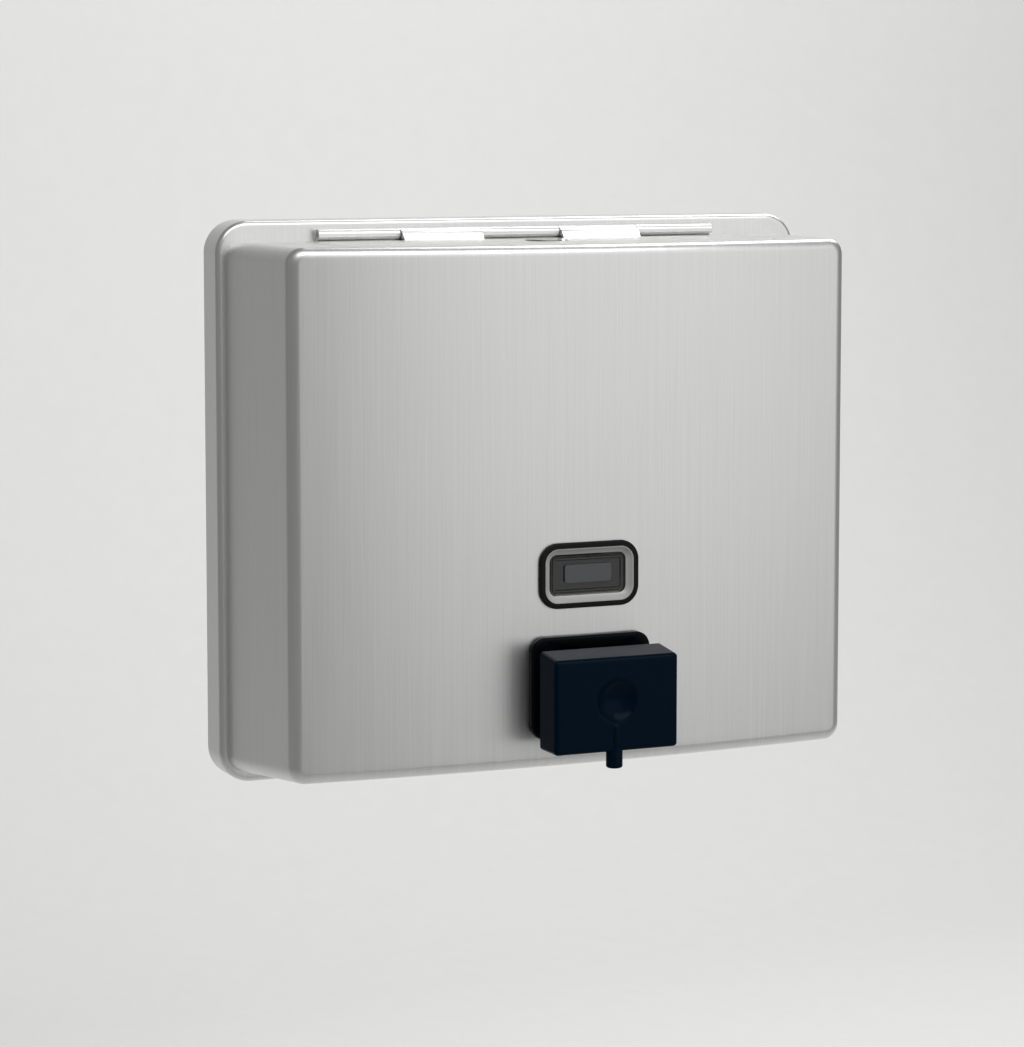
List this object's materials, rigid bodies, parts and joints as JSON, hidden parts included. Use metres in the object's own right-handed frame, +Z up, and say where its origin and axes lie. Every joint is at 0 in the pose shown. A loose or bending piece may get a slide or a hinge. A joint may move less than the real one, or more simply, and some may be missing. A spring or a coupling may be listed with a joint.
{
  "type": "wall mounted soap dispenser",
  "caption": "Wall mounted stainless steel liquid soap dispenser with a push button pump, a level window and a lockable hinged filler lid.",
  "frame": {"origin": "centre of the wall plate's four screw holes, on the wall's surface", "axes": "+X right seen from the room, +Y into the wall, +Z up; the front faces -Y"},
  "size_m": [0.1778, 0.08, 0.1556],
  "materials": {
    "satin_steel": "satin",
    "plate_steel": "satin",
    "lock_chrome": "polished",
    "spring_steel": "satin",
    "black_rubber": "matte",
    "clear_window": "gloss",
    "black_plastic": "gloss",
    "gloss_black": "gloss",
    "white_nylon": "matte"
  },
  "bodies": {
    "tank": {"back_pan": "satin_steel", "tank_shell": "satin_steel", "filler_frame": "plate_steel", "lid_gasket": "black_rubber", "hinge_knuckles": "satin_steel", "hinge_pin": "plate_steel", "wall_plate": "plate_steel", "hanger_brackets": "plate_steel", "locking_screw": "plate_steel", "screw_nut": "plate_steel", "window_gasket": "black_rubber", "window_lens": "clear_window", "window_retainer": "plate_steel", "valve_housing": "black_plastic", "rod_seal": "black_rubber", "housing_gasket": "black_rubber", "housing_nut": "white_nylon", "pump_cylinder": "white_nylon", "inlet_valve": "black_rubber", "return_spring": "spring_steel"},
    "lid": {"filler_lid": "satin_steel", "lock_body": "lock_chrome", "lock_nut": "plate_steel"},
    "lock": {"lock_plug": "lock_chrome", "lock_cam": "plate_steel", "cam_screw": "plate_steel"},
    "button": {"push_button": "gloss_black", "spout_tip": "gloss_black", "duckbill_valve": "black_rubber", "plunger_rod": "plate_steel", "piston": "white_nylon", "piston_seal": "black_rubber"}
  },
  "joints": [
    {"name": "button_push", "type": "slide", "parent": "tank", "child": "button", "axis": [0, 1, 0], "range_m": [0, 0.006], "stiffness_N_per_m": 1300, "springref_m": -0.005, "deforming": ["return_spring"]},
    {"name": "lid_hinge", "type": "hinge", "parent": "tank", "child": "lid", "pos_m": [0, -0.0131, 0.0737], "axis": [-1, 0, 0], "range_deg": [0, 100]},
    {"name": "lock_turn", "type": "hinge", "parent": "lid", "child": "lock", "pos_m": [0, -0.0327, 0.0675], "axis": [0, 0, -1], "range_deg": [0, 90]}
  ]
}
